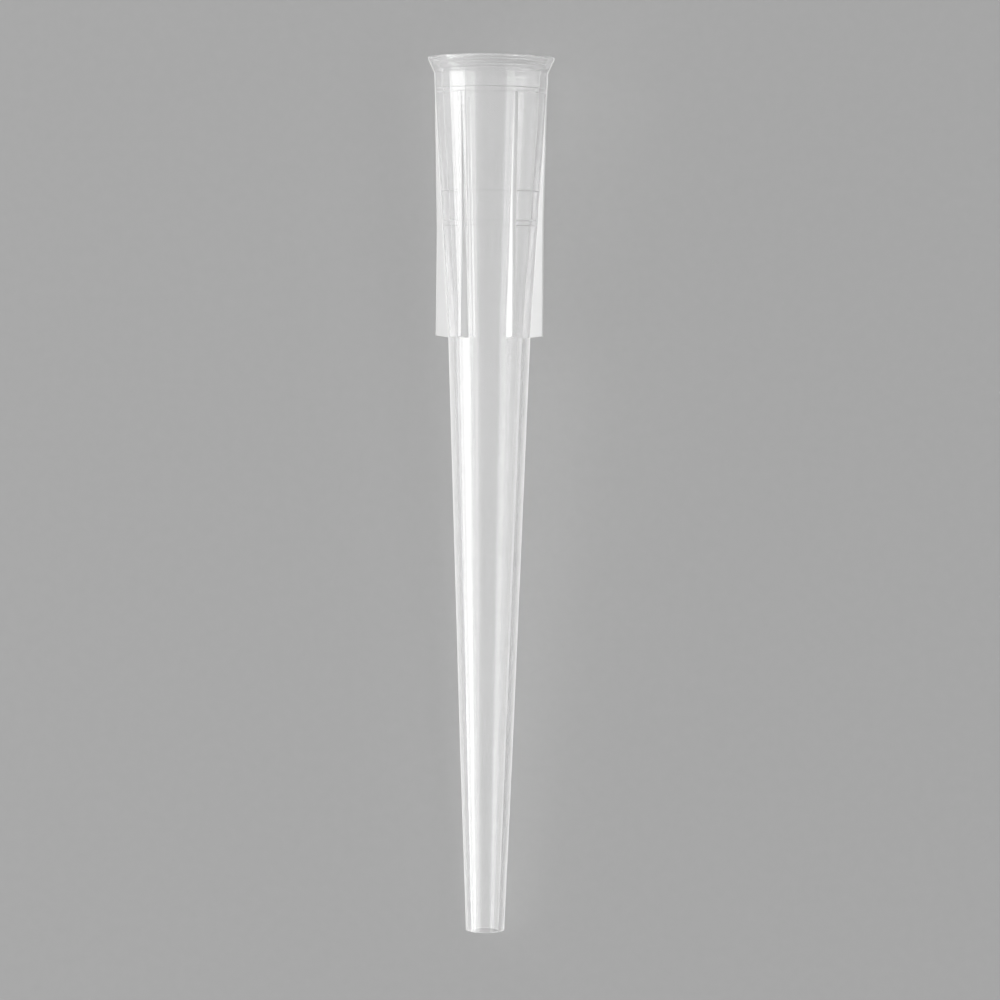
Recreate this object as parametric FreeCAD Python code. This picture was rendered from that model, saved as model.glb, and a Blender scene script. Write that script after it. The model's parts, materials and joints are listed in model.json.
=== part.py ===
import FreeCAD, Part

import math
import os

# A wide-orifice 200 microlitre pipette tip, moulded in one piece from natural polypropylene.
# All sizes are in millimetres. The tip is drawn upright on its own axis, with the rim up at
# station 0 and every station counted down from the rim, and is laid on the floor at the end.

# ---- Driving dimensions ----------------------------------------------------------------------

overall_length = 50.0        # rim to orifice

# Mouth and rim
rim_height = 0.12            # upright outer edge of the rim
rim_overhang = 0.36          # how far the rim stands out past the neck
rim_edge_radius = 0.05       # rounding of the rim's two upper edges
flare_depth = 0.90           # station where the flared mouth runs into the neck
flare_wall = 0.36            # wall at the rim

# Neck, the plain band under the flare
neck_depth = 2.10            # station where the neck ends and the fins begin
neck_wall = 0.416
neck_draft = 2.0             # degrees

# Nozzle seat, the short cylinder inside that grips the pipette
seat_diameter = 4.70
seat_depth = 7.90            # station where the cylinder begins
seat_length = 1.32
seat_lead = 0.36             # length of the band above the cylinder, with a small step at its top
seat_lead_cone = 0.025       # how much that band's cone closes the bore
seat_stop = 0.34             # length of the band below the cylinder, with a step at each end
seat_stop_cone = 0.004       # how much that band's cone closes the bore
band_step = 0.045            # height of the small steps
band_ramp = 0.056            # length of their slopes

# Bore above and below the seat
bore_taper = 3.3             # degrees, from the mouth to the shoulder
entry_depth = 1.735          # station where the plain entry ends
entry_draft = 1.5            # degrees
entry_step = 0.040           # how much wider the entry's end is than the bore below it
bead_width = 0.295           # low sealing bead under the entry
bead_height = 0.035
bead_ramp = 0.045            # length of the bead's sloped sides
orifice_diameter = 1.54

# Collar, the finned stretch that hangs in the rack
collar_depth = 15.90         # station of the shoulder, at the barrel's surface
collar_wall = 0.45
collar_step = 0.35           # length of the small slope between the neck and the collar's tube
fin_count = 6
fin_thickness = 0.25
fin_bend_depth = 9.60        # station where the fins' outer edges turn almost upright
fin_bend_height = 0.310      # how far the fins stand out from the collar's tube there
fin_end_height = 0.72        # and at the shoulder
fin_end_slope = 0.10         # rise of the fins' lower ends from the barrel to their outer edges

# Barrel, the plain tube below the shoulder
fine_length = 10.64          # length of the steeper stretch at the orifice
fine_wall = 0.395            # wall where that stretch begins
orifice_wall = 0.33

# ---- Sizes that follow from the ones above ---------------------------------------------------

bore_slope = math.tan(math.radians(bore_taper))
seat_radius = seat_diameter / 2.0
lead_radius = seat_radius + seat_lead_cone + band_step
stop_radius = seat_radius - seat_stop_cone - 2.0 * band_step
orifice_radius = orifice_diameter / 2.0
seat_top = seat_depth - seat_lead
seat_bottom = seat_depth + seat_length
stop_bottom = seat_bottom + seat_stop
bead_bottom = entry_depth + bead_width
fine_depth = overall_length - fine_length


def upper_bore_radius(station):
    """Radius of the bore between the mouth and the cone that leads into the seat."""
    return lead_radius + (seat_top - station) * bore_slope


collar_bore_radius = stop_radius - (collar_depth - stop_bottom) * bore_slope


def barrel_bore_radius(station):
    """Radius of the bore between the shoulder and the orifice."""
    share = (station - collar_depth) / (overall_length - collar_depth)
    return collar_bore_radius + (orifice_radius - collar_bore_radius) * share


entry_end_radius = upper_bore_radius(entry_depth) + entry_step
entry_radius = entry_end_radius + (entry_depth - flare_depth) * math.tan(math.radians(entry_draft))
neck_radius = entry_radius + neck_wall
neck_end_radius = neck_radius - (neck_depth - flare_depth) * math.tan(math.radians(neck_draft))
rim_radius = neck_radius + rim_overhang
mouth_radius = rim_radius - flare_wall
collar_top = neck_depth + collar_step
collar_top_radius = upper_bore_radius(collar_top) + collar_wall
shoulder_radius = collar_bore_radius + collar_wall
fine_radius = barrel_bore_radius(fine_depth) + fine_wall
orifice_outer_radius = orifice_radius + orifice_wall
collar_slope = (collar_top_radius - shoulder_radius) / (collar_depth - collar_top)
fin_bend_radius = shoulder_radius + (collar_depth - fin_bend_depth) * collar_slope + fin_bend_height
fin_end_radius = shoulder_radius + fin_end_height
fin_end_depth = collar_depth - fin_end_slope


def turned(outline):
    """Solid of revolution about the tip's axis, from closed (radius, station) points."""
    points = [FreeCAD.Vector(radius, 0, -station) for radius, station in outline]
    face = Part.Face(Part.makePolygon(points + points[:1]))
    return face.revolve(FreeCAD.Vector(0, 0, 0), FreeCAD.Vector(0, 0, 1), 360)


def outer_outline():
    """Outside of the tube, from the rim down, without its fins."""
    return [
        (rim_radius, 0.0),
        (rim_radius, rim_height),
        (neck_radius, flare_depth),
        (neck_end_radius, neck_depth),
        (collar_top_radius, collar_top),
        (shoulder_radius, collar_depth),
        (fine_radius, fine_depth),
        (orifice_outer_radius, overall_length),
    ]


def bore_outline():
    """Inside of the tube, from the orifice up."""
    bead_top_radius = upper_bore_radius(entry_depth + bead_ramp) - bead_height
    bead_foot_radius = upper_bore_radius(bead_bottom - bead_ramp) - bead_height
    return [
        (orifice_radius, overall_length),
        (collar_bore_radius, collar_depth),
        (stop_radius, stop_bottom),
        (stop_radius + band_step, stop_bottom - band_ramp),
        (seat_radius - band_step, seat_bottom + band_ramp),
        (seat_radius, seat_bottom),
        (seat_radius, seat_depth),
        (lead_radius - band_step, seat_top + band_ramp),
        (lead_radius, seat_top),
        (upper_bore_radius(bead_bottom), bead_bottom),
        (bead_foot_radius, bead_bottom - bead_ramp),
        (bead_top_radius, entry_depth + bead_ramp),
        (entry_end_radius, entry_depth),
        (entry_radius, flare_depth),
        (mouth_radius, 0.0),
    ]


def tube():
    """The tip without its fins, with the rim's two upper edges rounded."""
    solid = turned(outer_outline() + bore_outline())
    rim_edges = [edge for edge in solid.Edges
                 if abs(edge.BoundBox.ZMin) < 1e-6 and abs(edge.BoundBox.ZMax) < 1e-6]
    return solid.makeFillet(rim_edge_radius, rim_edges)


def fins():
    """The collar's radial fins: flush with the neck above, standing proud at the shoulder."""
    root = collar_wall / 2.0
    envelope = turned([
        (collar_top_radius - root, neck_depth),
        (neck_end_radius, neck_depth),
        (fin_bend_radius, fin_bend_depth),
        (fin_end_radius, fin_end_depth),
        (shoulder_radius, collar_depth),
        (shoulder_radius - root, collar_depth),
    ])
    reach = 2.0 * rim_radius
    slab = Part.makeBox(reach, fin_thickness, overall_length,
                        FreeCAD.Vector(0, -fin_thickness / 2.0, -overall_length))
    pitch = 360.0 / fin_count
    solids = []
    for index in range(fin_count):
        blade = slab.copy()
        # Two neighbouring fins straddle the downward side evenly once the tip lies down.
        blade.rotate(FreeCAD.Vector(0, 0, 0), FreeCAD.Vector(0, 0, 1), 90.0 + (index + 0.5) * pitch)
        solids.append(envelope.common(blade))
    return solids


def resting_line(centre_station):
    """Line that the tip lies on, as its slope to the axis and its distance from it at station 0.

    Seen from the side, three points of the tip can reach the floor: the rim, the lower corners
    of the two downward fins, and the orifice. It lies on the rim and the orifice, unless the
    fins reach past the line between them. Then it lies on the fins, and on the rim or the
    orifice, whichever is on the same side of them as its centre of mass."""
    half_pitch = math.radians(180.0 / fin_count)
    corner_angle = math.asin(fin_thickness / 2.0 / fin_end_radius)
    rim = (rim_height, rim_radius)
    shoulder = (fin_end_depth, fin_end_radius * math.cos(half_pitch - corner_angle))
    orifice = (overall_length, orifice_outer_radius)

    def line(first, second):
        slope = (second[1] - first[1]) / (second[0] - first[0])
        return slope, first[1] - slope * first[0]

    slope, reach = line(rim, orifice)
    if shoulder[1] > reach + slope * shoulder[0]:
        pair = (rim, shoulder) if centre_station < shoulder[0] else (shoulder, orifice)
        slope, reach = line(*pair)
    return slope, reach


def laid_down(solid):
    """The tip at rest on its side on the floor z = 0, rim towards +Y, centred on the origin."""
    slope, reach = resting_line(-solid.CenterOfMass.z)
    angle = math.atan(slope)
    origin = FreeCAD.Vector(0, 0, 0)
    sideways = FreeCAD.Vector(1, 0, 0)
    solid.rotate(origin, sideways, -90.0)
    solid.rotate(origin, sideways, -math.degrees(angle))
    solid.translate(FreeCAD.Vector(0, 0, reach * math.cos(angle)))
    box = solid.optimalBoundingBox(False)
    solid.translate(FreeCAD.Vector(0, -box.Center.y, 0))
    return solid


def pipette_tip():
    """The whole tip as one solid, lying as it comes to rest."""
    solid = tube().multiFuse(fins()).removeSplitter().Solids[0]
    return laid_down(solid)


os.makedirs("parts", exist_ok=True)
tip = pipette_tip()
tip.exportStep("parts/pipette_tip.step")
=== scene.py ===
"""A clear polypropylene pipette tip lying on its side on a pale table.

The tip is drawn upright in millimetres, with its rim at station 0 and every station counted
down from the rim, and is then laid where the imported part's nozzle seat says, in metres.
"""

import json
import logging
import math
from collections.abc import Callable
from dataclasses import dataclass, field
from enum import Enum

import bmesh
import bpy
from mathutils import Matrix, Vector


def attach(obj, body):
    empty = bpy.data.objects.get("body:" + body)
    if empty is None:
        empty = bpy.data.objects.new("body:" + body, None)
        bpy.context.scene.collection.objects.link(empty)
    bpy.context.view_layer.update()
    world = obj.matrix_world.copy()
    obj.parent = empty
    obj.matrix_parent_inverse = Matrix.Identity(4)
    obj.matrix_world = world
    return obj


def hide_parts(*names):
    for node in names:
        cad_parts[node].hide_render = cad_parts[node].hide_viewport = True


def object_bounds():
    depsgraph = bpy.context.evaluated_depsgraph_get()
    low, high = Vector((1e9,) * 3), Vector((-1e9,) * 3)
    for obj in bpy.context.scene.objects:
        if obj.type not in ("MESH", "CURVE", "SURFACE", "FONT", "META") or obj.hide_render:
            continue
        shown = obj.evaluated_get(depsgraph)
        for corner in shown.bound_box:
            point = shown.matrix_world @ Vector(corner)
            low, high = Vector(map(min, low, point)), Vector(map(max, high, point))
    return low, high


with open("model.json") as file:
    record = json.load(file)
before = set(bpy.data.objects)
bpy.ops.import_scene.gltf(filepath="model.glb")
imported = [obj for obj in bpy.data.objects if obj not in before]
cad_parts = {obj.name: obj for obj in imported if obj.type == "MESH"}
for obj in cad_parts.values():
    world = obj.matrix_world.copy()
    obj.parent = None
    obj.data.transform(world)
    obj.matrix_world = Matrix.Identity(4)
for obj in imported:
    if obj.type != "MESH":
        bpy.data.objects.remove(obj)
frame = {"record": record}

CAD_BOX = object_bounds()
CAD_NODE = "pipette_tip"
BODY = "root"
MILLIMETRE = 0.001

log = logging.getLogger("pipette_tip")


# ---- Small helpers for modelling -------------------------------------------------------------


class Part(Enum):
    """What an edit-mode selection is made of."""

    EDGES = "EDGE"
    FACES = "FACE"


def deselect_all() -> None:
    """Leaves nothing selected and nothing active, so an operator acts on new things only."""
    for piece in bpy.context.selected_objects:
        piece.select_set(False)
    bpy.context.view_layer.objects.active = None


def make_active(*pieces: bpy.types.Object) -> None:
    """Selects the given pieces alone and makes the first one active.

    Args:
        pieces: The pieces to select.
    """
    deselect_all()
    for piece in pieces:
        piece.select_set(True)
    bpy.context.view_layer.objects.active = pieces[0]


def pick(kind: Part, wanted: Callable[[object], bool]) -> int:
    """Selects by place or direction in edit mode, and drops every other selection.

    Args:
        kind: Whether edges or faces are picked.
        wanted: Says of one edge or face whether it is picked.

    Returns:
        How many were picked.
    """
    bpy.ops.mesh.select_mode(type=kind.value)
    bpy.ops.mesh.select_all(action="DESELECT")
    mesh = bpy.context.edit_object.data
    cage = bmesh.from_edit_mesh(mesh)
    elements = cage.edges if kind is Part.EDGES else cage.faces
    found = [element for element in elements if wanted(element)]
    for element in found:
        element.select_set(True)
    cage.select_flush_mode()
    bmesh.update_edit_mesh(mesh)
    return len(found)


def on_ring(edge: bmesh.types.BMEdge, radius: float, station: float, slack: float = 0.004) -> bool:
    """True if an edge lies along a ring of that radius, at that station below the rim."""
    return all(abs(corner.co.xy.length - radius) < slack and abs(corner.co.z + station) < slack
               for corner in edge.verts)


def apply_modifier(piece: bpy.types.Object, kind: str, **settings: object) -> None:
    """Adds a modifier to a piece, sets it and applies it.

    Args:
        piece: The piece to change.
        kind: Blender's name for the kind of modifier.
        settings: The modifier's settings.
    """
    make_active(piece)
    bpy.ops.object.modifier_add(type=kind)
    modifier = piece.modifiers[-1]
    for name, value in settings.items():
        setattr(modifier, name, value)
    bpy.ops.object.modifier_apply(modifier=modifier.name)


# ---- Where the tip lies ----------------------------------------------------------------------


@dataclass(frozen=True)
class RestingPlace:
    """The tip's axis as it lies on the table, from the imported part's nozzle seat."""

    seat_middle: Vector
    towards_rim: Vector
    seat_station: float = 8.56  # mm, from the rim to the seat's middle

    @classmethod
    def from_record(cls, record: dict) -> "RestingPlace":
        """Reads the nozzle seat's middle and direction.

        Args:
            record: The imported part's record.

        Returns:
            The place of the tip's axis.
        """
        seat = next(mount for mount in record["mounts"] if mount["name"] == "nozzle_seat")
        return cls(Vector(seat["pos_m"]), Vector(seat["axis"]).normalized())

    def at(self, station: float) -> Vector:
        """Point on the axis at a station below the rim, in metres."""
        return self.seat_middle + self.towards_rim * (self.seat_station - station) * MILLIMETRE

    def matrix(self) -> Matrix:
        """Turns the upright drawing in millimetres into the lying tip in metres."""
        sideways = Vector((1.0, 0.0, 0.0))
        turn = Matrix((sideways, self.towards_rim.cross(sideways), self.towards_rim)).transposed()
        return Matrix.LocRotScale(self.at(0.0), turn.to_quaternion(), Vector((MILLIMETRE,) * 3))

    def lay_down(self, piece: bpy.types.Object) -> None:
        """Moves an upright piece to its place, and leaves its object at the origin.

        Args:
            piece: The piece, drawn upright in millimetres.
        """
        make_active(piece)
        piece.matrix_world = self.matrix()
        bpy.ops.object.transform_apply(location=True, rotation=True, scale=True)


# ---- The tip ---------------------------------------------------------------------------------


@dataclass(frozen=True)
class Ring:
    """One ring of a turned outline, with the width of the rounding along it."""

    radius: float
    station: float
    rounding: float = 0.0


@dataclass
class TipTube:
    """The tip's tube from the flared rim to the orifice, without fins. Sizes in millimetres."""

    overall_length: float = 50.0
    rim_height: float = 0.12
    rim_overhang: float = 0.36
    flare_depth: float = 0.90
    flare_wall: float = 0.36
    neck_depth: float = 2.10
    neck_wall: float = 0.416
    neck_draft: float = 2.0  # degrees
    seat_diameter: float = 4.70
    seat_depth: float = 7.90
    seat_length: float = 1.32
    seat_lead: float = 0.36
    seat_lead_cone: float = 0.025
    seat_stop: float = 0.34
    seat_stop_cone: float = 0.004
    band_step: float = 0.045
    band_ramp: float = 0.056
    bore_taper: float = 3.3  # degrees
    entry_depth: float = 1.735
    entry_draft: float = 1.5  # degrees
    entry_step: float = 0.040
    bead_width: float = 0.295
    bead_height: float = 0.035
    bead_ramp: float = 0.045
    orifice_diameter: float = 1.54
    collar_depth: float = 15.90
    collar_wall: float = 0.45
    collar_step: float = 0.35
    fine_length: float = 10.64
    fine_wall: float = 0.395
    orifice_wall: float = 0.33
    corners_around: int = 192
    rounding_steps: int = 3
    merge_distance: float = 0.001

    def upper_bore(self, station: float) -> float:
        """Radius of the bore between the mouth and the seat."""
        taper = math.tan(math.radians(self.bore_taper))
        return self.lead_radius() + (self.seat_depth - self.seat_lead - station) * taper

    def lead_radius(self) -> float:
        """Radius of the bore at the upper end of the band above the seat."""
        return self.seat_diameter / 2.0 + self.seat_lead_cone + self.band_step

    def stop_bottom(self) -> float:
        """Station where the band below the seat ends."""
        return self.seat_depth + self.seat_length + self.seat_stop

    def stop_radius(self) -> float:
        """Radius of the bore where that band ends."""
        return self.seat_diameter / 2.0 - self.seat_stop_cone - 2.0 * self.band_step

    def collar_bore(self) -> float:
        """Radius of the bore at the collar's lower end."""
        drop = (self.collar_depth - self.stop_bottom()) * math.tan(math.radians(self.bore_taper))
        return self.stop_radius() - drop

    def barrel_bore(self, station: float) -> float:
        """Radius of the bore below the collar."""
        share = (station - self.collar_depth) / (self.overall_length - self.collar_depth)
        return self.collar_bore() + (self.orifice_diameter / 2.0 - self.collar_bore()) * share

    def entry_end(self) -> float:
        """Radius of the entry where it meets the bore."""
        return self.upper_bore(self.entry_depth) + self.entry_step

    def entry_radius(self) -> float:
        """Radius of the entry under the flare."""
        draft = math.tan(math.radians(self.entry_draft))
        return self.entry_end() + (self.entry_depth - self.flare_depth) * draft

    def neck_radius(self) -> float:
        """Outer radius of the neck under the flare."""
        return self.entry_radius() + self.neck_wall

    def neck_end(self) -> float:
        """Outer radius of the neck where the fins begin."""
        draft = math.tan(math.radians(self.neck_draft))
        return self.neck_radius() - (self.neck_depth - self.flare_depth) * draft

    def rim_radius(self) -> float:
        """Outer radius of the rim, the widest place."""
        return self.neck_radius() + self.rim_overhang

    def collar_top(self) -> Ring:
        """Ring at the foot of the small slope under the neck."""
        station = self.neck_depth + self.collar_step
        return Ring(self.upper_bore(station) + self.collar_wall, station, 0.05)

    def shoulder(self) -> Ring:
        """Ring on the tube's outside at the collar's lower end."""
        return Ring(self.collar_bore() + self.collar_wall, self.collar_depth)

    def collar_outside(self, station: float) -> float:
        """Outer radius of the collar's tube between the fins."""
        top, foot = self.collar_top(), self.shoulder()
        share = (station - top.station) / (foot.station - top.station)
        return top.radius + (foot.radius - top.radius) * share

    def outline(self) -> list[Ring]:
        """The closed outline: the outside from the rim down, then the bore from the orifice up."""
        fine_depth = self.overall_length - self.fine_length
        bead_bottom = self.entry_depth + self.bead_width
        bead_foot = bead_bottom - self.bead_ramp
        bead_top = self.entry_depth + self.bead_ramp
        seat_top = self.seat_depth - self.seat_lead
        seat_radius = self.seat_diameter / 2.0
        seat_bottom = self.seat_depth + self.seat_length
        orifice = self.orifice_diameter / 2.0
        return [
            Ring(self.rim_radius(), 0.0, 0.05),
            Ring(self.rim_radius(), self.rim_height, 0.04),
            Ring(self.neck_radius(), self.flare_depth, 0.06),
            Ring(self.neck_end(), self.neck_depth, 0.03),
            self.collar_top(),
            self.shoulder(),
            Ring(self.barrel_bore(fine_depth) + self.fine_wall, fine_depth),
            Ring(orifice + self.orifice_wall, self.overall_length, 0.035),
            Ring(orifice, self.overall_length, 0.03),
            Ring(self.barrel_bore(fine_depth), fine_depth),
            Ring(self.collar_bore(), self.collar_depth),
            Ring(self.stop_radius(), self.stop_bottom(), 0.01),
            Ring(self.stop_radius() + self.band_step, self.stop_bottom() - self.band_ramp, 0.01),
            Ring(seat_radius - self.band_step, seat_bottom + self.band_ramp, 0.01),
            Ring(seat_radius, seat_bottom, 0.01),
            Ring(seat_radius, self.seat_depth, 0.02),
            Ring(self.lead_radius() - self.band_step, seat_top + self.band_ramp, 0.01),
            Ring(self.lead_radius(), seat_top, 0.01),
            Ring(self.upper_bore(bead_bottom), bead_bottom, 0.015),
            Ring(self.upper_bore(bead_foot) - self.bead_height, bead_foot, 0.015),
            Ring(self.upper_bore(bead_top) - self.bead_height, bead_top, 0.015),
            Ring(self.entry_end(), self.entry_depth, 0.015),
            Ring(self.entry_radius(), self.flare_depth, 0.06),
            Ring(self.rim_radius() - self.flare_wall, 0.0, 0.05),
        ]

    def build(self) -> bpy.types.Object:
        """Extrudes a ring along the outline, closes it on itself and rounds its corners.

        Returns:
            The closed tube, upright.
        """
        rings = self.outline()
        start = rings[0]
        deselect_all()
        bpy.ops.mesh.primitive_circle_add(vertices=self.corners_around, radius=start.radius,
                                          location=(0.0, 0.0, -start.station))
        piece = bpy.context.object
        bpy.ops.object.mode_set(mode="EDIT")
        bpy.ops.mesh.select_all(action="SELECT")
        for above, below in zip(rings, rings[1:] + rings[:1]):
            drop = (0.0, 0.0, above.station - below.station)
            growth = below.radius / above.radius
            bpy.ops.mesh.extrude_edges_move(TRANSFORM_OT_translate={"value": drop})
            bpy.ops.transform.resize(value=(growth, growth, 1.0),
                                     center_override=(0.0, 0.0, -below.station))
        bpy.ops.mesh.select_all(action="SELECT")
        bpy.ops.mesh.remove_doubles(threshold=self.merge_distance)
        bpy.ops.mesh.normals_make_consistent(inside=False)
        for ring in rings:
            if ring.rounding:
                pick(Part.EDGES, lambda edge: on_ring(edge, ring.radius, ring.station))
                bpy.ops.mesh.bevel(offset=ring.rounding, segments=self.rounding_steps,
                                   affect="EDGES")
        bpy.ops.object.mode_set(mode="OBJECT")
        piece.name = "tube"
        return piece


@dataclass(frozen=True)
class FinSection:
    """The level cross-section of a fin: its station and how far it reaches from the axis."""

    station: float
    inner: float
    outer: float


@dataclass
class CollarFins:
    """The six radial fins on the collar. Sizes in millimetres."""

    tube: TipTube
    count: int = 6
    thickness: float = 0.25
    bend_depth: float = 9.60
    bend_height: float = 0.310
    end_height: float = 0.72
    end_slope: float = 0.10
    rounding: float = 0.05
    rounding_steps: int = 3
    tuck: float = 0.16  # how far each fin's upper end is tucked into the neck's wall
    least_outward: float = 0.2  # share of a face's direction that makes it an outer face

    def sections(self) -> list[FinSection]:
        """Cross-sections from the neck down, each rooted in the middle of the tube's wall."""
        tube = self.tube
        root = tube.collar_wall / 2.0
        foot = tube.shoulder()
        bend_outer = tube.collar_outside(self.bend_depth) + self.bend_height
        lean = (tube.neck_end() - bend_outer) / (self.bend_depth - tube.neck_depth)
        top = tube.neck_depth - self.tuck
        end_depth = tube.collar_depth - self.end_slope
        return [
            FinSection(top, tube.collar_outside(top) - root, tube.neck_end() + self.tuck * lean),
            FinSection(self.bend_depth, tube.collar_outside(self.bend_depth) - root, bend_outer),
            FinSection(end_depth, tube.collar_outside(end_depth) - root,
                       foot.radius + self.end_height),
            FinSection(tube.collar_depth, foot.radius - root, foot.radius),
        ]

    def build(self, side_painted_shade_finish: bpy.types.Material,
              edge_painted_shade_finish: bpy.types.Material) -> bpy.types.Object:
        """Extrudes one fin down from its upper end, rounds it and copies it round the axis.

        Args:
            side_painted_shade_finish: Material of the broad sides and the lower end, greyed as
                painted shade.
            edge_painted_shade_finish: Material of the narrow outer face and its roundings, greyer
                painted shade.

        Returns:
            All the fins, upright, as one object.
        """
        sections = self.sections()
        start = sections[0]
        width = start.outer - start.inner
        deselect_all()
        bpy.ops.mesh.primitive_plane_add(size=1.0,
                                         location=(start.inner + width / 2.0, 0.0, -start.station))
        fin = bpy.context.object
        bpy.ops.object.transform_apply(location=True, rotation=False, scale=False)
        bpy.ops.object.mode_set(mode="EDIT")
        bpy.ops.mesh.select_all(action="SELECT")
        bpy.ops.transform.resize(value=(width, self.thickness, 1.0),
                                 center_override=(start.inner + width / 2.0, 0.0, -start.station))
        for above, below in zip(sections, sections[1:]):
            drop = (below.inner - above.inner, 0.0, above.station - below.station)
            growth = (below.outer - below.inner) / (above.outer - above.inner)
            bpy.ops.mesh.extrude_region_move(TRANSFORM_OT_translate={"value": drop})
            bpy.ops.transform.resize(value=(growth, 1.0, 1.0),
                                     center_override=(below.inner, 0.0, -below.station))
        bpy.ops.mesh.select_all(action="SELECT")
        bpy.ops.mesh.normals_make_consistent(inside=False)
        self.round_edges()
        fin.data.materials.append(side_painted_shade_finish)
        fin.data.materials.append(edge_painted_shade_finish)
        # The outer faces take the greyer finish, painted shade that darkens the fins' edges.
        fin.active_material_index = 1
        pick(Part.FACES, lambda face: face.normal.x > self.least_outward)
        bpy.ops.object.material_slot_assign()
        bpy.ops.object.mode_set(mode="OBJECT")
        copies = self.copies_of(fin)
        make_active(fin, *copies)
        bpy.ops.object.join()
        fin.name = "fins"
        return fin

    def round_edges(self) -> None:
        """Rounds the fin's long outer edges and its lower end."""
        clear = self.tube.collar_wall / 2.0

        def outside(corner: bmesh.types.BMVert) -> bool:
            """True if a corner stands out of the tube's wall."""
            station = -corner.co.z
            return corner.co.x > self.tube.collar_outside(station) - clear / 2.0

        def exposed(edge: bmesh.types.BMEdge) -> bool:
            """True for an edge along the fin's outer face or lower end, on either side."""
            first, second = edge.verts
            level = abs(first.co.y - second.co.y) < self.thickness / 4.0
            return level and outside(first) and outside(second)

        picked = pick(Part.EDGES, exposed)
        log.info("fin: rounding %d edges", picked)
        bpy.ops.mesh.bevel(offset=self.rounding, segments=self.rounding_steps, affect="EDGES")

    def copies_of(self, fin: bpy.types.Object) -> list[bpy.types.Object]:
        """Copies a fin round the axis, each copy with its own mesh.

        Args:
            fin: The first fin.

        Returns:
            The copies, without the first fin.
        """
        copies = []
        for index in range(1, self.count):
            copy = fin.copy()
            copy.data = fin.data.copy()
            bpy.context.collection.objects.link(copy)
            turn = Matrix.Rotation(math.tau * index / self.count, 4, "Z")
            copy.matrix_world = turn @ fin.matrix_world
            copies.append(copy)
        return copies


# ---- Materials -------------------------------------------------------------------------------


def linear(code: str) -> tuple[float, float, float, float]:
    """Turns an sRGB hex colour into the linear colour that shaders use.

    Args:
        code: The colour as "#rrggbb".

    Returns:
        Red, green, blue and an alpha of 1.
    """
    shares = [int(code[place:place + 2], 16) / 255.0 for place in (1, 3, 5)]
    red, green, blue = (share / 12.92 if share <= 0.04045 else ((share + 0.055) / 1.055) ** 2.4
                        for share in shares)
    return red, green, blue, 1.0


def add_node(tree: bpy.types.NodeTree, kind: str, inputs: dict | None = None,
             **settings: object) -> bpy.types.Node:
    """Adds a node to a material, a lamp or the world.

    Args:
        tree: The node tree that gets it.
        kind: Blender's name for the kind of node.
        inputs: For an input's name or number, its value or the output that feeds it.
        settings: The node's own properties.

    Returns:
        The new node.
    """
    node = tree.nodes.new(kind)
    for name, value in settings.items():
        setattr(node, name, value)
    for key, value in (inputs or {}).items():
        if isinstance(value, bpy.types.NodeSocket):
            tree.links.new(value, node.inputs[key])
        else:
            node.inputs[key].default_value = value
    return node


def blank_material(name: str) -> bpy.types.Material:
    """Makes a material with an empty node tree."""
    material = bpy.data.materials.new(name)
    material.use_nodes = True
    material.node_tree.nodes.clear()
    return material


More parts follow.
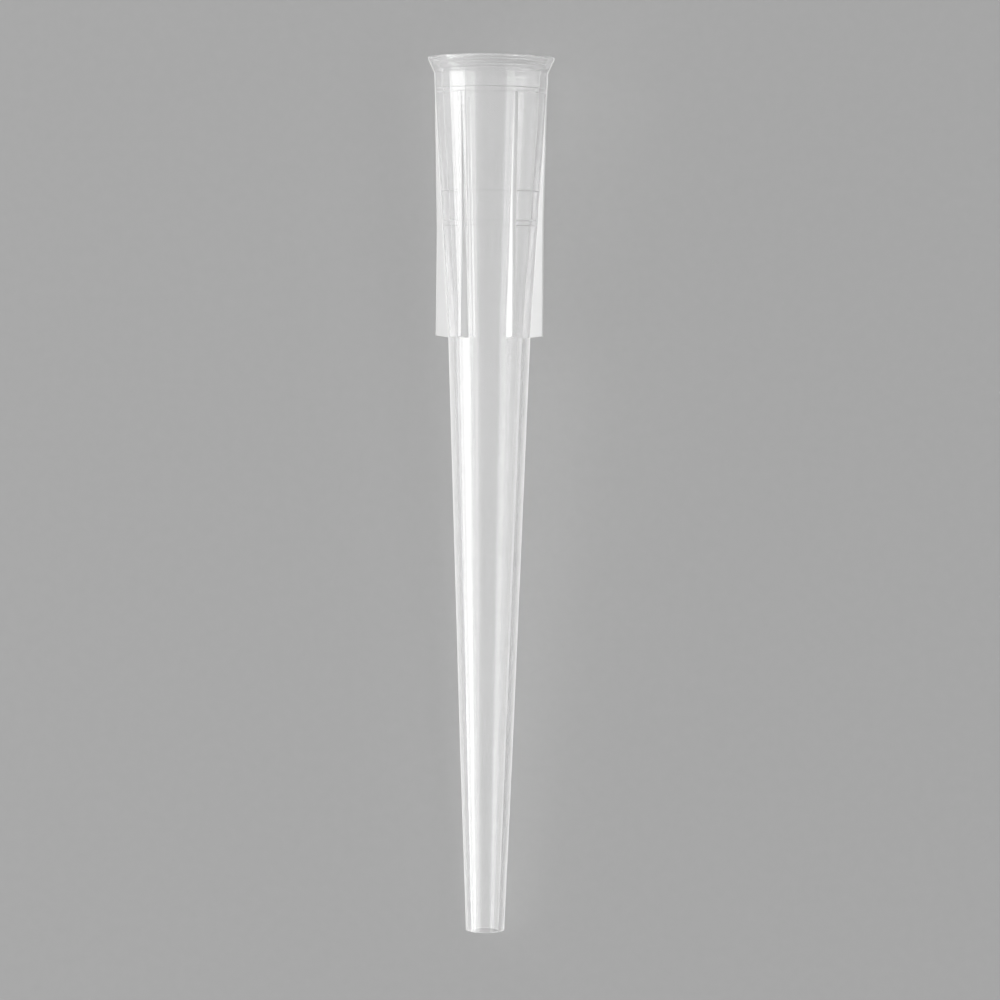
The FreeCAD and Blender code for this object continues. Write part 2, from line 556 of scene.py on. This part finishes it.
@dataclass(frozen=True)
class MouldedPolypropylene:
    """Natural polypropylene, injection moulded thin against polished steel.

    It passes light, with a slight milkiness from its crystals, and it shines. The melt's flow
    leaves faint lines along the tip, and the shrinkage of the wall a very shallow unevenness.
    Where the wall is seen along itself, and so through its depth, it turns milky. The flared
    mouth was turned on the mould's steel and left matt, with fine turning rings.
    """

    name: str = "moulded_polypropylene"
    colour: str = "#FDFDFD"
    streak_colour: str = "#F1F1F1"
    clearness: float = 0.845  # the rest is scattered by the crystals
    haze_begins: float = 0.42  # share of a glancing view at which the deep wall turns milky
    haze_ends: float = 0.92
    haze_strength: float = 0.95
    haze_colour: str = "#F0F0F0"
    haze_sent_on: float = 0.5  # share of the milky light that goes on through the wall
    finned_haze_begins: float = 0.76  # the same above the barrel
    ior: float = 1.49
    gloss_roughness: float = 0.02
    dull_roughness: float = 0.06
    polish_from: float = 0.30  # level of the flow lines at which the gloss starts to dull
    polish_to: float = 0.75
    mask_blur: float = 0.04  # mm, on either side of a station where the finish changes
    mouth_roughness: float = 0.12
    mouth_colour: str = "#F6F6F6"
    flow_line_spacing: float = 0.5  # mm, across the flow
    flow_line_length: float = 30.0  # mm, along the flow
    flow_line_depth: float = 0.002  # mm
    shrink_size: float = 4.0  # mm
    shrink_depth: float = 0.01  # mm
    ring_spacing: float = 0.2  # mm
    ring_depth: float = 0.07  # mm
    ring_length: float = 4.0  # mm, along each ring
    shadow_tint: str = "#F4F4F4"

    def material(self, place: RestingPlace, mouth_depth: float,
                 barrel_top: float) -> bpy.types.Material:
        """Builds the material.

        Args:
            place: Where the tip's axis lies, for the direction of the flow lines.
            mouth_depth: Station where the matt mouth ends, in millimetres.
            barrel_top: Station where the plain barrel begins, in millimetres.

        Returns:
            The finished material.
        """
        material = blank_material(self.name)
        tree = material.node_tree
        upright = self.upright_millimetres(tree, place)
        mouth = self.above(tree, upright, mouth_depth)
        finned = self.above(tree, upright, barrel_top)
        flow = self.stretched_noise(tree, upright, self.flow_line_spacing, self.flow_line_length)
        rings = self.stretched_noise(tree, upright, self.ring_length, self.ring_spacing)
        shrink = self.stretched_noise(tree, upright, self.shrink_size, self.shrink_size)
        colour = add_node(tree, "ShaderNodeMix", {
            "Factor": flow, "A": linear(self.colour), "B": linear(self.streak_colour),
        }, data_type="RGBA")
        dressed = add_node(tree, "ShaderNodeMix", {
            "Factor": mouth, "A": colour.outputs["Result"], "B": linear(self.mouth_colour),
        }, data_type="RGBA")
        polish = add_node(tree, "ShaderNodeMapRange", {
            "Value": flow, "From Min": self.polish_from, "From Max": self.polish_to,
            "To Min": self.gloss_roughness, "To Max": self.dull_roughness,
        })
        roughness = add_node(tree, "ShaderNodeMix", {
            "Factor": mouth, "A": polish.outputs["Result"], "B": self.mouth_roughness,
        }, data_type="FLOAT")
        normal = self.surface_normal(tree, flow, shrink, rings, mouth)
        plastic = add_node(tree, "ShaderNodeBsdfPrincipled", {
            "Base Color": dressed.outputs["Result"], "Roughness": roughness.outputs["Result"],
            "IOR": self.ior, "Transmission Weight": self.clearness, "Normal": normal,
        })
        hazy = self.haze_at_edges(tree, plastic, finned)
        passing = add_node(tree, "ShaderNodeBsdfTransparent", {"Color": linear(self.shadow_tint)})
        rays = add_node(tree, "ShaderNodeLightPath")
        surface = add_node(tree, "ShaderNodeMixShader", {
            0: rays.outputs["Is Shadow Ray"], 1: hazy, 2: passing.outputs["BSDF"],
        })
        add_node(tree, "ShaderNodeOutputMaterial", {"Surface": surface.outputs["Shader"]})
        return material

    def haze_at_edges(self, tree: bpy.types.NodeTree, plastic: bpy.types.Node,
                      finned: bpy.types.NodeSocket) -> bpy.types.NodeSocket:
        """Turns the plastic milky where the wall is seen along itself, and so through its depth.

        Args:
            tree: The material's node tree.
            plastic: The clear plastic.
            finned: 1 above the barrel, where the fins and the bands break up the light that
                runs along the wall, so that its edges turn less milky.

        Returns:
            The plastic with its milky edges.
        """
        glancing = add_node(tree, "ShaderNodeLayerWeight", {"Blend": 0.5})
        begins = add_node(tree, "ShaderNodeMix", {
            "Factor": finned, "A": self.haze_begins, "B": self.finned_haze_begins,
        }, data_type="FLOAT")
        share = add_node(tree, "ShaderNodeMapRange", {
            "Value": glancing.outputs["Facing"], "From Min": begins.outputs["Result"],
            "From Max": self.haze_ends, "To Max": self.haze_strength,
        })
        sent_back = add_node(tree, "ShaderNodeBsdfDiffuse", {"Color": linear(self.haze_colour)})
        sent_on = add_node(tree, "ShaderNodeBsdfTranslucent", {"Color": linear(self.haze_colour)})
        milk = add_node(tree, "ShaderNodeMixShader", {
            0: self.haze_sent_on, 1: sent_back.outputs["BSDF"], 2: sent_on.outputs["BSDF"],
        })
        mixed = add_node(tree, "ShaderNodeMixShader", {
            0: share.outputs["Result"], 1: plastic.outputs["BSDF"], 2: milk.outputs["Shader"],
        })
        return mixed.outputs["Shader"]

    def upright_millimetres(self, tree: bpy.types.NodeTree,
                            place: RestingPlace) -> bpy.types.NodeSocket:
        """Turns object coordinates back into the upright drawing's, in millimetres."""
        position = add_node(tree, "ShaderNodeTexCoord")
        back = place.matrix().inverted()
        turned = add_node(tree, "ShaderNodeMapping", {
            "Vector": position.outputs["Object"],
            "Location": back.to_translation(),
            "Rotation": back.to_euler(),
            "Scale": back.to_scale(),
        }, vector_type="POINT")
        return turned.outputs["Vector"]

    def above(self, tree: bpy.types.NodeTree, upright: bpy.types.NodeSocket,
              station: float) -> bpy.types.NodeSocket:
        """Gives 1 between the rim and a station and 0 below it."""
        split = add_node(tree, "ShaderNodeSeparateXYZ", {"Vector": upright})
        mask = add_node(tree, "ShaderNodeMapRange", {
            "Value": split.outputs["Z"], "From Min": -station - self.mask_blur,
            "From Max": -station + self.mask_blur,
        })
        return mask.outputs["Result"]

    def stretched_noise(self, tree: bpy.types.NodeTree, upright: bpy.types.NodeSocket,
                        across: float, along: float) -> bpy.types.NodeSocket:
        """Noise with its own sizes across and along the tip, in millimetres."""
        scaled = add_node(tree, "ShaderNodeMapping", {
            "Vector": upright, "Scale": (1.0 / across, 1.0 / across, 1.0 / along),
        }, vector_type="POINT")
        noise = add_node(tree, "ShaderNodeTexNoise", {
            "Vector": scaled.outputs["Vector"], "Scale": 1.0, "Detail": 2.0,
        })
        return noise.outputs["Fac"]

    def surface_normal(self, tree: bpy.types.NodeTree, flow: bpy.types.NodeSocket,
                       shrink: bpy.types.NodeSocket, rings: bpy.types.NodeSocket,
                       mouth: bpy.types.NodeSocket) -> bpy.types.NodeSocket:
        """Adds the shrinkage, the flow lines and the mouth's turning rings to the surface."""
        uneven = add_node(tree, "ShaderNodeBump", {
            "Height": shrink, "Distance": self.shrink_depth * MILLIMETRE,
        })
        lined = add_node(tree, "ShaderNodeBump", {
            "Height": flow, "Distance": self.flow_line_depth * MILLIMETRE,
            "Normal": uneven.outputs["Normal"],
        })
        turned = add_node(tree, "ShaderNodeBump", {
            "Height": rings, "Distance": self.ring_depth * MILLIMETRE, "Strength": mouth,
            "Normal": lined.outputs["Normal"],
        })
        return turned.outputs["Normal"]


@dataclass(frozen=True)
class BackgroundPaper:
    """Matt background paper, with a faint tooth. It gives no shine and a soft shadow."""

    colour: str = "#ACACAC"
    fibre_colour: str = "#A8A8A8"
    fibre_size: float = 0.6  # mm
    roughness: float = 0.95
    shine: float = 0.1

    def material(self) -> bpy.types.Material:
        """Builds the material."""
        material = blank_material("background_paper")
        tree = material.node_tree
        position = add_node(tree, "ShaderNodeTexCoord")
        fibres = add_node(tree, "ShaderNodeTexNoise", {
            "Vector": position.outputs["Object"], "Detail": 2.0,
            "Scale": 1.0 / (self.fibre_size * MILLIMETRE),
        })
        colour = add_node(tree, "ShaderNodeMix", {
            "Factor": fibres.outputs["Fac"], "A": linear(self.colour),
            "B": linear(self.fibre_colour),
        }, data_type="RGBA")
        paper = add_node(tree, "ShaderNodeBsdfPrincipled", {
            "Base Color": colour.outputs["Result"], "Roughness": self.roughness,
            "Specular IOR Level": self.shine,
        })
        add_node(tree, "ShaderNodeOutputMaterial", {"Surface": paper.outputs["BSDF"]})
        return material


# ---- The whole object ------------------------------------------------------------------------


@dataclass
class PipetteTip:
    """The tip, moulded in one piece: the tube and its fins."""

    place: RestingPlace
    tube: TipTube = field(default_factory=TipTube)
    wall_finish: MouldedPolypropylene = field(default_factory=MouldedPolypropylene)
    # Painted shade: the fins' sides are a slightly grey, frosted copy of the plastic.
    fin_side_painted_shade_finish: MouldedPolypropylene = field(default_factory=lambda: MouldedPolypropylene(
        name="frosted_polypropylene_painted_shade", colour="#EAEAEA", clearness=0.3, gloss_roughness=0.14,
        dull_roughness=0.24))
    # Painted shade: the fins' outer faces are a greyer copy still, darker than the sides.
    fin_edge_painted_shade_finish: MouldedPolypropylene = field(default_factory=lambda: MouldedPolypropylene(
        name="glossy_polypropylene_painted_shade", colour="#E0E0E0", streak_colour="#D8D8D8", clearness=0.4,
        gloss_roughness=0.08, dull_roughness=0.16))
    sharp_angle: float = 38.0  # degrees, above which an edge stays sharp
    merge_distance: float = 0.0005  # mm

    def build(self) -> bpy.types.Object:
        """Models, places and dresses the tip, and puts it in for the CAD node.

        Returns:
            The finished piece.
        """
        piece = self.tube.build()
        # The two fin finishes carry painted shade in their grey colours.
        wall, side, edge = (
            finish.material(self.place, self.tube.flare_depth, self.tube.collar_depth)
            for finish in (self.wall_finish, self.fin_side_painted_shade_finish, self.fin_edge_painted_shade_finish)
        )
        piece.data.materials.append(wall)
        fins = CollarFins(self.tube).build(side, edge)
        apply_modifier(piece, "BOOLEAN", operation="UNION", solver="EXACT",
                       material_mode="TRANSFER", object=fins)
        bpy.data.objects.remove(fins)
        piece.name = "clear_tip"
        self.smooth(piece)
        self.place.lay_down(piece)
        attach(piece, BODY)
        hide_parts(CAD_NODE)
        report(piece)
        return piece

    def smooth(self, piece: bpy.types.Object) -> None:
        """Merges what the union left double, and shades the round walls smooth."""
        make_active(piece)
        bpy.ops.object.mode_set(mode="EDIT")
        bpy.ops.mesh.select_all(action="SELECT")
        bpy.ops.mesh.remove_doubles(threshold=self.merge_distance)
        bpy.ops.mesh.normals_make_consistent(inside=False)
        bpy.ops.object.mode_set(mode="OBJECT")
        bpy.ops.object.shade_smooth_by_angle(angle=math.radians(self.sharp_angle))
        apply_modifier(piece, "WEIGHTED_NORMAL", keep_sharp=True)


# ---- Floor, light and camera -----------------------------------------------------------------


@dataclass(frozen=True)
class Softbox:
    """A soft rectangular lamp. Sizes in metres."""

    name: str
    where: tuple[float, float, float]
    towards: tuple[float, float, float]
    size: tuple[float, float]
    radiance: float  # how bright its face is


@dataclass
class Studio:
    """A sheet of pale paper under soft lamps. Sizes in metres."""

    paper_width: float = 4.0
    paper: BackgroundPaper = field(default_factory=BackgroundPaper)
    sky_colour: str = "#B4B4B4"
    sky_light: float = 0.50
    softboxes: tuple[Softbox, ...] = (
        Softbox("left_softbox", (-0.90, 0.0, 0.357), (0.0, 0.0, 0.357), (0.90, 0.702), 4.8),
        Softbox("upper_left_softbox", (-0.675, 0.0, 0.81), (0.0, 0.0, 0.0), (0.90, 0.36), 1.6),
        Softbox("right_softbox", (0.66, 0.0, 0.66), (0.0, 0.0, 0.0), (1.20, 0.30), 1.4),
    )

    def build(self) -> None:
        """Lays the paper, lights the world and hangs the lamps."""
        self.lay_paper()
        self.light_world()
        for softbox in self.softboxes:
            self.hang(softbox)

    def lay_paper(self) -> bpy.types.Object:
        """Lays the paper level with the underside of the tip."""
        deselect_all()
        bpy.ops.mesh.primitive_plane_add(size=self.paper_width, location=(0.0, 0.0, CAD_BOX[0].z))
        paper = bpy.context.object
        paper.name = "paper"
        bpy.ops.object.transform_apply(location=True, rotation=True, scale=True)
        paper.data.materials.append(self.paper.material())
        return paper

    def light_world(self) -> None:
        """Fills the room with even light, behind which the eye sees the pale backdrop."""
        world = bpy.data.worlds.new("studio_room")
        bpy.context.scene.world = world
        world.use_nodes = True
        tree = world.node_tree
        tree.nodes.clear()
        rays = add_node(tree, "ShaderNodeLightPath")
        seen = add_node(tree, "ShaderNodeMath", {0: rays.outputs["Is Camera Ray"],
                                                 1: rays.outputs["Is Glossy Ray"]},
                        operation="MAXIMUM")
        seen = add_node(tree, "ShaderNodeMath", {0: seen.outputs["Value"],
                                                 1: rays.outputs["Is Transmission Ray"]},
                        operation="MAXIMUM")
        backdrop = add_node(tree, "ShaderNodeBackground", {"Color": linear(self.sky_colour),
                                                           "Strength": 1.0})
        fill = add_node(tree, "ShaderNodeBackground", {"Color": (1.0, 1.0, 1.0, 1.0),
                                                       "Strength": self.sky_light})
        mixed = add_node(tree, "ShaderNodeMixShader", {
            0: seen.outputs["Value"], 1: fill.outputs["Background"],
            2: backdrop.outputs["Background"],
        })
        add_node(tree, "ShaderNodeOutputWorld", {"Surface": mixed.outputs["Shader"]})

    def hang(self, softbox: Softbox) -> bpy.types.Object:
        """Hangs a softbox and turns it to face its target.

        Args:
            softbox: The softbox's place, size and brightness.

        Returns:
            The lamp.
        """
        width, height = softbox.size
        where = Vector(softbox.where)
        data = bpy.data.lights.new(softbox.name, "AREA")
        data.shape = "RECTANGLE"
        data.size, data.size_y = width, height
        data.energy = softbox.radiance * math.pi * width * height
        lamp = bpy.data.objects.new(softbox.name, data)
        bpy.context.scene.collection.objects.link(lamp)
        lamp.location = where
        facing = Vector(softbox.towards) - where
        lamp.rotation_euler = facing.to_track_quat("-Z", "Y").to_euler()
        lamp.visible_camera = False
        return lamp


@dataclass
class TableCamera:
    """A camera that looks straight down on the tip, square to its axis. Sizes in millimetres."""

    place: RestingPlace
    distance: float = 203.2
    foot_station: float = 14.17  # station that the camera stands square to
    aim_station: float = 25.186  # station in the middle of the picture
    aim_aside: float = 0.68  # how far the middle lies right of the axis
    turn: float = 3.3  # degrees round the tip's axis, to the right
    roll: float = 0.42  # degrees
    lens: float = 127.96
    sensor: float = 36.0
    nearest: float = 10.0

    def build(self) -> bpy.types.Object:
        """Makes the camera and sets it as the scene's.

        Returns:
            The camera.
        """
        along = self.place.towards_rim
        right = Vector((1.0, 0.0, 0.0))
        upward = right.cross(along)
        square_up = Matrix.Rotation(math.radians(self.turn), 3, along) @ upward
        location = self.place.at(self.foot_station) + square_up * self.distance * MILLIMETRE
        aside = along.cross(square_up)
        aim = self.place.at(self.aim_station) + aside * self.aim_aside * MILLIMETRE
        back = (location - aim).normalized()
        level = along.cross(back).normalized()
        turn = Matrix((level, back.cross(level), back)).transposed()
        turn = turn @ Matrix.Rotation(math.radians(self.roll), 3, "Z")
        data = bpy.data.cameras.new("table_camera")
        data.lens = self.lens
        data.sensor_width = self.sensor
        data.clip_start = self.nearest * MILLIMETRE
        camera = bpy.data.objects.new("table_camera", data)
        camera.matrix_world = Matrix.LocRotScale(location, turn.to_quaternion(), None)
        bpy.context.scene.collection.objects.link(camera)
        bpy.context.scene.camera = camera
        return camera


# ---- Putting it together ---------------------------------------------------------------------


def report(piece: bpy.types.Object) -> None:
    """Logs a piece's size and whether its mesh is closed."""
    cage = bmesh.new()
    cage.from_mesh(piece.data)
    loose = sum(1 for edge in cage.edges if not edge.is_manifold)
    volume = cage.calc_volume() / MILLIMETRE ** 3
    triangles = sum(len(face.verts) - 2 for face in cage.faces)
    cage.free()
    size = [round(side / MILLIMETRE, 3) for side in piece.dimensions]
    log.info("%s: %s mm, %d triangles, %d open edges, %.2f mm3", piece.name, size, triangles,
             loose, volume)


def main() -> None:
    """Builds the tip, its studio and the camera."""
    logging.basicConfig(level=logging.INFO, format="%(name)s: %(message)s")
    place = RestingPlace.from_record(frame["record"])
    PipetteTip(place).build()
    Studio().build()
    TableCamera(place).build()
    bpy.context.scene.view_settings.view_transform = "Standard"


if __name__ == "__main__":
    main()
